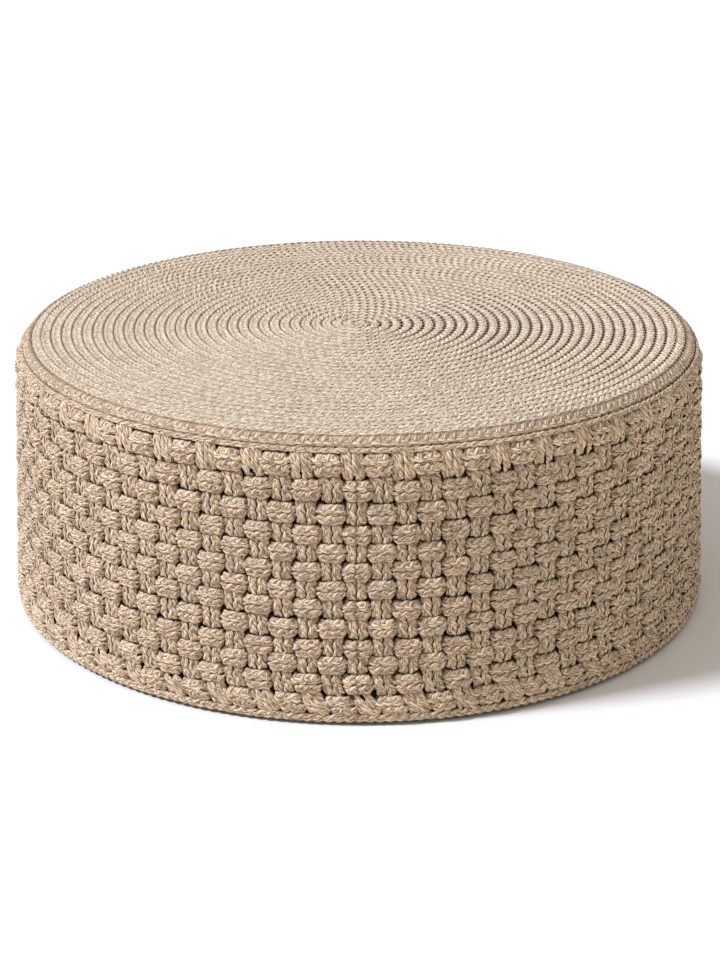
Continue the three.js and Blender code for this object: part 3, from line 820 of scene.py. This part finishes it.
def coilPath():
    wholeRun = rimArc + rimMiddle - coil["innerRadius"]
    turns = 1 + (wholeRun - coil["firstWidth"]) / coil["pitch"]
    jog, steps = coil["jogShare"], coil["stepsPerTurn"]
    turn = np.arange(int(-jog * steps), int(turns * steps)) / steps
    whole = np.floor(turn)
    share = np.clip((turn - whole - (1 - jog)) / jog, 0, 1)
    share = share * share * (3 - 2 * share)
    start, fade = coil["evenTurns"]
    even = np.clip((turn - turns + start) / fade, 0, 1)
    run = turnRun(whole + share * (1 - even) + (turn - whole) * even)

    tail = np.clip(-turn / jog, 0, 1)
    run = np.where(turn < 0, coil["firstWidth"] / 2 * (1 - coil["tailRun"] * tail), run)
    start, fade = coil["narrowTurns"]
    narrow = np.clip((turn - start) / fade, 0, 1)
    plump = coil["firstWidth"] / coil["pitch"] * (1 - narrow) + narrow
    plump = plump * (1 - coil["tailPlump"] * tail)

    end, fade = coil["edgeTurns"]
    edge = np.clip(end - turn, 0, fade) / fade
    lean = np.radians(coil["leanDegrees"] + coil["edgeLean"] * edge)
    radius, height, tilt = coilPlace(run)
    angle = math.pi / 2 + turn * 2 * math.pi
    place, outward = radialPath(radius, angle, height, tilt - lean)
    # The outermost turns get painted shade, fading out over the edge turns
    return {"place": place, "outward": outward, "plump": plump, "paintedShade": coil["edgeShade"] * edge}


wholeCoil = coilPath()
strides = np.linalg.norm(np.diff(wholeCoil["place"], axis=0), axis=1)
walked = np.concatenate([[0], np.cumsum(strides)])
print("coil: %.1f m of plait" % (walked[-1] * mm))
layLength = coilPlait["layLength"]
ends = [round(walked[-1] / layLength * share) * layLength for share in coil["pieceEnds"]]
for number, (start, end) in enumerate(zip(ends, ends[1:])):
    first, last = np.searchsorted(walked, start), np.searchsorted(walked, end, side="right") + 1
    path = makePath(**{key: values[first:last] for key, values in wholeCoil.items()})
    # The outermost piece takes the rolled edge's rope, a darker copy as painted shade
    sizes, rope = (edgePlait, shadedEdgeRope) if number == 0 else (coilPlait, matRope)
    piece = layPlaits("coil_%d" % (number + 1), [path], sizes, rope)
    finishPiece(piece, "rope_mat", "top_mat", "mat_core")
print("rope laid")

# Foam pad under the coil: crowned, with a round upper edge and a groove above its foot
pad = {
    "segments": 96,
    "inset": 0.3,
    "flatShare": 0.5,
    "foot": [(2.0, 0.0), (0.3, 1.2), (0.6, 6.0)],  # in from the side, and up from the bottom
    "edgeRound": 30.0,
    "roundSteps": 6,
    "crown": 0.4,
    "crownShares": [0.7, 0.4, 0.15, 0.0],
}


def padProfile():
    low, high = boxOf("foam_pad")
    radius, bottom, top = high[0] - pad["inset"], low[2], high[2]
    profile = [(0.0, bottom), (radius * pad["flatShare"], bottom)]
    profile += [(radius - inward, bottom + up) for inward, up in pad["foot"]]
    flat, shoulder = radius - pad["edgeRound"], top - pad["crown"] - pad["edgeRound"]
    for step in range(pad["roundSteps"] + 1):
        angle = step / pad["roundSteps"] * math.pi / 2
        out, up = pad["edgeRound"] * math.cos(angle), pad["edgeRound"] * math.sin(angle)
        profile.append((flat + out, shoulder + up))
    profile += [(flat * share, top - pad["crown"] * share) for share in pad["crownShares"]]
    return [(out * mm, up * mm) for out, up in profile]


# Turns the profile round the middle: its first and last points are the poles
def foamPad():
    profile, count = padProfile(), pad["segments"]
    points, faces = [], []
    for radius, height in profile[1:-1]:
        for k in range(count):
            angle = k / count * 2 * math.pi
            points.append((radius * math.cos(angle), radius * math.sin(angle), height))
    last = (len(profile) - 3) * count
    for ring in range(0, last, count):
        for k in range(count):
            a, b = ring + k, ring + (k + 1) % count
            faces.append((a, b, b + count, a + count))
    points += [(0, 0, profile[0][1]), (0, 0, profile[-1][1])]
    for k in range(count):
        faces.append((len(points) - 2, (k + 1) % count, k))
        faces.append((len(points) - 1, last + k, last + (k + 1) % count))
    mesh = bpy.data.meshes.new("foam_pad_soft")
    mesh.from_pydata(points, [], faces)
    mesh.shade_smooth()
    piece = bpy.data.objects.new("foam_pad_soft", mesh)
    scene.collection.objects.link(piece)
    return piece


foam = {
    "dark": (150, 146, 134),
    "light": (228, 224, 212),
    "cells": 420.0,  # per metre
    "cellSpan": (0.1, 0.6),  # from a cell's middle, where it turns from dark to light
    "bump": 0.001,  # metres, as in the finishes below
}


def foamMaterial():
    material, tree, shader = newMaterial("quick-dry foam", 0.95)
    inputs = {"Vector": objectPlace(tree), "Scale": foam["cells"]}
    cells = addNode(tree, "ShaderNodeTexVoronoi", inputs).outputs["Distance"]
    share = ramp(tree, cells, *foam["cellSpan"])
    color = mixColors(tree, share, linear(foam["dark"]), linear(foam["light"]))
    tree.links.new(color, shader.inputs["Base Color"])
    addBump(tree, shader, cells, foam["bump"], 0.8)
    return material


softPad = foamPad()
softPad.data.materials.append(foamMaterial())
finishPiece(softPad, "foam", "foam_pad")
print("foam pad made")

# Frame, cover, glides and screws keep their solids and get their finishes. Grain is in waves per
# metre, and gloss is the roughness where it is least and most
coat = {
    "dark": (128, 117, 100),
    "light": (146, 135, 118),
    "patches": 14.0,
    "grain": 900.0,
    "gloss": (0.42, 0.56),
    "bump": 0.0003,
}
cover = {"dark": (14, 13, 12), "light": (70, 67, 63), "threadPitch": 2.2, "bump": 0.0005}
glide = {
    "dark": (30, 28, 26),
    "light": (56, 53, 50),
    "grain": 1400.0,
    "gloss": (0.45, 0.62),
    "bump": 0.0002,
}
screw = {"dark": (176, 176, 173), "light": (206, 206, 203), "grain": 2500.0, "gloss": (0.24, 0.42)}


def addGloss(tree, shader, grain, least, most):
    tree.links.new(ramp(tree, grain, 0.3, 0.7, least, most), shader.inputs["Roughness"])


def coatedMetal():
    material, tree, shader = newMaterial("taupe powder coat", 0.48)
    grain = noiseAt(tree, objectPlace(tree), coat["grain"])
    patches = ramp(tree, noiseAt(tree, objectPlace(tree), coat["patches"], 3.0), 0.35, 0.65)
    color = mixColors(tree, patches, linear(coat["dark"]), linear(coat["light"]))
    tree.links.new(color, shader.inputs["Base Color"])
    addGloss(tree, shader, grain, *coat["gloss"])
    addBump(tree, shader, grain, coat["bump"], 0.5)
    return material


def coverMaterial():
    material, tree, shader = newMaterial("black base mesh", 0.8)
    parts = addNode(tree, "ShaderNodeSeparateXYZ", {0: objectPlace(tree)}).outputs
    pitch = 2 * math.pi / (cover["threadPitch"] * mm)
    threads = [calc(tree, "SINE", calc(tree, "MULTIPLY", parts[axis], pitch)) for axis in ("X", "Y")]
    height = calc(tree, "MAXIMUM", *threads)
    share = ramp(tree, height, -0.4, 0.9)
    color = mixColors(tree, share, linear(cover["dark"]), linear(cover["light"]))
    tree.links.new(color, shader.inputs["Base Color"])
    addBump(tree, shader, height, cover["bump"], 0.7)
    return material


def glideMaterial():
    material, tree, shader = newMaterial("moulded glide", 0.5)
    grain = noiseAt(tree, objectPlace(tree), glide["grain"], 1.0)
    color = mixColors(tree, grain, linear(glide["dark"]), linear(glide["light"]))
    tree.links.new(color, shader.inputs["Base Color"])
    addGloss(tree, shader, grain, *glide["gloss"])
    addBump(tree, shader, grain, glide["bump"], 0.4)
    return material


def screwMaterial():
    material, tree, shader = newMaterial("stainless screw", 0.3, 1.0)
    brushed = noiseAt(tree, objectPlace(tree), screw["grain"])
    color = mixColors(tree, brushed, linear(screw["dark"]), linear(screw["light"]))
    tree.links.new(color, shader.inputs["Base Color"])
    addGloss(tree, shader, brushed, *screw["gloss"])
    return material


# A node gets the first finish whose words its name starts with
finishes = (
    (("top_ring", "bottom_ring", "upright_", "deck_"), "frame", coatedMetal()),
    (("base_cover",), "cover_mesh", coverMaterial()),
    (("glide_screw_",), "screw_steel", screwMaterial()),
    (("glide_",), "glide_plastic", glideMaterial()),
)
dressed = set()
for starts, slot, material in finishes:
    for nodeName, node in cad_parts.items():
        if nodeName in dressed or not nodeName.startswith(starts):
            continue
        dressed.add(nodeName)
        node.data.materials.clear()
        node.data.materials.append(material)
print("frame dressed:", len(dressed), "nodes")

# Studio: pale floor, soft key from the upper left, even fill
studio = {
    "floorSize": 12.0,  # metres from the middle to each side
    "floorSeen": (0.92, 0.92, 0.92, 1),
    "floorBounce": (0.80, 0.725, 0.635, 1),
    "keyStrength": 2.85,
    "keyAngle": 11.0,
    "keyColor": (0.95, 1.0, 1.13),
    "keyFrom": (-0.62, -0.155, 0.77),
    "fill": 0.51,
    "fillColor": (1, 0.935, 0.865, 1),
}


def studioFloor():
    mesh = bpy.data.meshes.new("floor")
    half = studio["floorSize"]
    corners = [(-half, -half, 0), (half, -half, 0), (half, half, 0), (-half, half, 0)]
    mesh.from_pydata(corners, [], [(0, 1, 2, 3)])
    floor = bpy.data.objects.new("floor", mesh)
    scene.collection.objects.link(floor)
    material, tree, shader = newMaterial("pale floor", 0.9)
    seen = tree.nodes.new("ShaderNodeLightPath").outputs["Is Camera Ray"]
    color = mixColors(tree, seen, studio["floorBounce"], studio["floorSeen"])
    tree.links.new(color, shader.inputs["Base Color"])
    shader.inputs["Specular IOR Level"].default_value = 0.0
    mesh.materials.append(material)


def studioLight():
    sun = bpy.data.lights.new("key", "SUN")
    sun.energy = studio["keyStrength"]
    sun.angle = math.radians(studio["keyAngle"])
    sun.color = studio["keyColor"]
    key = bpy.data.objects.new("key", sun)
    key.rotation_euler = Vector(studio["keyFrom"]).to_track_quat("Z", "Y").to_euler()
    scene.collection.objects.link(key)
    world = bpy.data.worlds.new("studio")
    scene.world = world
    world.use_nodes = True
    tree = world.node_tree
    background = tree.nodes["Background"]
    path = tree.nodes.new("ShaderNodeLightPath").outputs
    seen = calc(tree, "MAXIMUM", path["Is Camera Ray"], path["Is Glossy Ray"])
    seen = calc(tree, "MAXIMUM", seen, path["Is Transmission Ray"])
    color = mixColors(tree, seen, studio["fillColor"], (1, 1, 1, 1))
    tree.links.new(color, background.inputs["Color"])
    tree.links.new(ramp(tree, seen, 0, 1, studio["fill"], 1.0), background.inputs["Strength"])


# Camera: fitted to the outline, the coil's rows and the weave of the photograph
view = {
    "focal": 84.83,
    "sensor": 36,
    "distance": 3.002,  # metres
    "elevation": 20.15,  # degrees
    "targetHeight": 0.177,  # metres
    "shiftX": 0.001,
    "shiftY": -0.0317,
    "roll": -0.1,
}


def studioCamera():
    data = bpy.data.cameras.new("camera")
    data.sensor_width = view["sensor"]
    data.lens = view["focal"]
    data.shift_x, data.shift_y = view["shiftX"], view["shiftY"]
    camera = bpy.data.objects.new("camera", data)
    up = math.radians(view["elevation"])
    back = Vector((0, -math.cos(up), math.sin(up)))
    camera.location = back * view["distance"] + Vector((0, 0, view["targetHeight"]))
    roll = Matrix.Rotation(math.radians(view["roll"]), 3, "Z")
    camera.rotation_euler = (back.to_track_quat("Z", "Y").to_matrix() @ roll).to_euler()
    scene.collection.objects.link(camera)
    scene.camera = camera


studioFloor()
studioLight()
studioCamera()
scene.view_settings.view_transform = "Standard"
print("studio ready")
